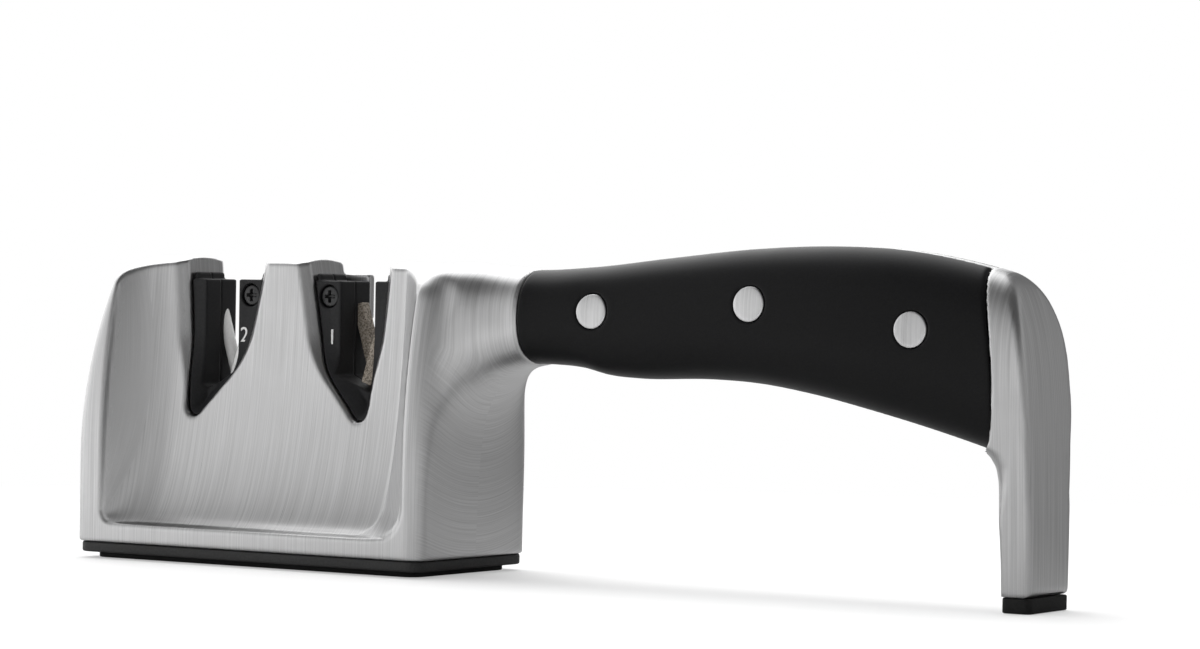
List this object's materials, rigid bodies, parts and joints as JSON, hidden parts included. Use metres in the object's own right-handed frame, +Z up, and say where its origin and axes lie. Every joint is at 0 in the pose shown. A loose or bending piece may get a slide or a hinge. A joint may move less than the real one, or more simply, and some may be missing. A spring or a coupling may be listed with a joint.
{
  "type": "knife sharpener",
  "caption": "Hand-held two-stage pull-through knife sharpener: scooped steel block with fine and coarse slots, riveted black handle and a steel leg with a rubber foot.",
  "frame": {"origin": "centre of the footprint box, on the table that the pad and the foot cap stand on", "axes": "+X along the handle from the block to the leg, +Y away from the viewer of the picture, +Z up"},
  "size_m": [0.256, 0.046, 0.0786],
  "materials": {
    "brushed_steel": "fine linear brushing",
    "black_scale": "satin, fine grain",
    "rivet_steel": "fine brushing, flush",
    "holder_plastic": "fine eroded texture",
    "black_screw": "black oxide",
    "white_ceramic": "smooth ceramic",
    "diamond_grit": "grit coated",
    "plate_plastic": "coarse eroded texture",
    "rubber": "matt"
  },
  "bodies": {
    "frame": {"body_casting": "brushed_steel", "front_scale": "black_scale", "rear_scale": "black_scale", "rivet_1": "rivet_steel", "rivet_2": "rivet_steel", "rivet_3": "rivet_steel", "base_plate": "plate_plastic", "non_slip_pad": "rubber", "base_screw_1": "black_screw", "base_screw_2": "black_screw", "base_screw_3": "black_screw", "base_screw_4": "black_screw", "foot_cap": "rubber"},
    "fine_cartridge": {"fine_holder_front": "holder_plastic", "fine_holder_rear": "holder_plastic", "fine_cartridge_screw": "black_screw", "ceramic_rod_left": "white_ceramic", "ceramic_rod_right": "white_ceramic"},
    "coarse_cartridge": {"coarse_holder_front": "holder_plastic", "coarse_holder_rear": "holder_plastic", "coarse_cartridge_screw": "black_screw", "diamond_bar_left": "diamond_grit", "diamond_bar_right": "diamond_grit"}
  },
  "joints": [
    {"name": "fine_cartridge_slide", "type": "slide", "parent": "frame", "child": "fine_cartridge", "axis": [0, -1, 0], "range_m": [0, 0.025]},
    {"name": "coarse_cartridge_slide", "type": "slide", "parent": "frame", "child": "coarse_cartridge", "axis": [0, -1, 0], "range_m": [0, 0.025]}
  ]
}
